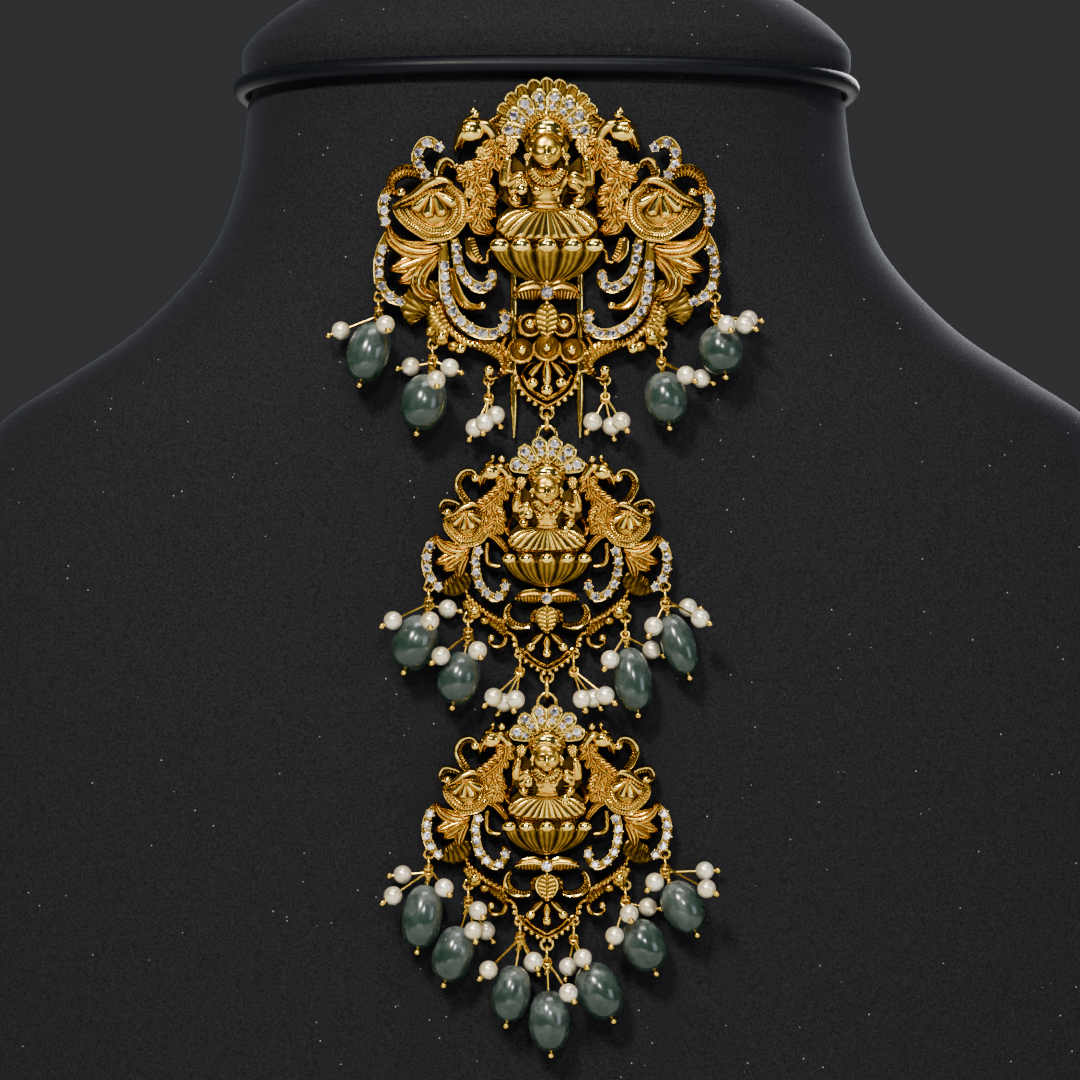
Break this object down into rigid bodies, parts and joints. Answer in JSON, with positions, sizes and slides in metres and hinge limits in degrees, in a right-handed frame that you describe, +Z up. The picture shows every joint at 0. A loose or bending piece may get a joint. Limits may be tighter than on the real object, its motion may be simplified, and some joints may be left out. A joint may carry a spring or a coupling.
{
  "type": "three-tier jadanagam braid ornament on a neck display bust",
  "caption": "Three cast openwork plaques with figure, birds and scrolls hang one below another, with pearls and oval beads on head pins, on a plain velvet neck bust.",
  "frame": {"origin": "centre of the bust's flat underside", "axes": "+X to the right seen from the front, +Z up, the ornament faces -Y"},
  "size_m": [0.226, 0.0909, 0.246],
  "materials": {
    "velvet": "short-pile black velvet",
    "piping": "satin-covered cord",
    "steel": "plain pin",
    "antique_gold": "gold plated casting with dark patina in the recesses",
    "clear_stone": "clear brilliant cut",
    "gold_wire": "bright gold plated wire",
    "grey_green_bead": "polished, cloudy and slightly translucent",
    "pearl": "cream pearl lustre"
  },
  "bodies": {
    "root": {"bust": "velvet", "bust_piping": "piping", "display_pin": "steel", "plaque_1": "antique_gold", "stones_1": "clear_stone", "pearls_1": "pearl", "drop_wires_1": "gold_wire", "drop_wires_2": "gold_wire", "drop_wires_3": "gold_wire", "drop_wires_4": "gold_wire", "drop_wires_5": "gold_wire", "drop_wires_6": "gold_wire", "oval_bead_1": "grey_green_bead", "oval_bead_2": "grey_green_bead", "oval_bead_5": "grey_green_bead", "oval_bead_6": "grey_green_bead"},
    "link_1": {"link_1": "gold_wire"},
    "tier_2": {"plaque_2": "antique_gold", "stones_2": "clear_stone", "pearls_2": "pearl", "drop_wires_7": "gold_wire", "drop_wires_8": "gold_wire", "drop_wires_9": "gold_wire", "drop_wires_10": "gold_wire", "drop_wires_11": "gold_wire", "drop_wires_12": "gold_wire", "oval_bead_7": "grey_green_bead", "oval_bead_8": "grey_green_bead", "oval_bead_11": "grey_green_bead", "oval_bead_12": "grey_green_bead"},
    "link_2": {"link_2": "gold_wire"},
    "tier_3": {"plaque_3": "antique_gold", "stones_3": "clear_stone", "pearls_3": "pearl", "drop_wires_13": "gold_wire", "drop_wires_14": "gold_wire", "drop_wires_15": "gold_wire", "drop_wires_16": "gold_wire", "drop_wires_17": "gold_wire", "drop_wires_18": "gold_wire", "drop_wires_19": "gold_wire", "oval_bead_13": "grey_green_bead", "oval_bead_14": "grey_green_bead", "oval_bead_15": "grey_green_bead", "oval_bead_16": "grey_green_bead", "oval_bead_17": "grey_green_bead", "oval_bead_18": "grey_green_bead", "oval_bead_19": "grey_green_bead"}
  },
  "joints": [
    {"name": "link_1_swing", "type": "hinge", "parent": "root", "child": "link_1", "pos_m": [0, -0.0401, 0.16635], "axis": [0, 1, 0], "range_deg": [-10, 10]},
    {"name": "tier_2_lift", "type": "hinge", "parent": "link_1", "child": "tier_2", "pos_m": [0, -0.0401, 0.16445], "axis": [-1, 0, 0], "range_deg": [0, 45]},
    {"name": "link_2_swing", "type": "hinge", "parent": "tier_2", "child": "link_2", "pos_m": [0, -0.0401, 0.12419], "axis": [0, 1, 0], "range_deg": [-4, 4]},
    {"name": "tier_3_lift", "type": "hinge", "parent": "link_2", "child": "tier_3", "pos_m": [0, -0.0401, 0.12169], "axis": [-1, 0, 0], "range_deg": [0, 30]}
  ]
}
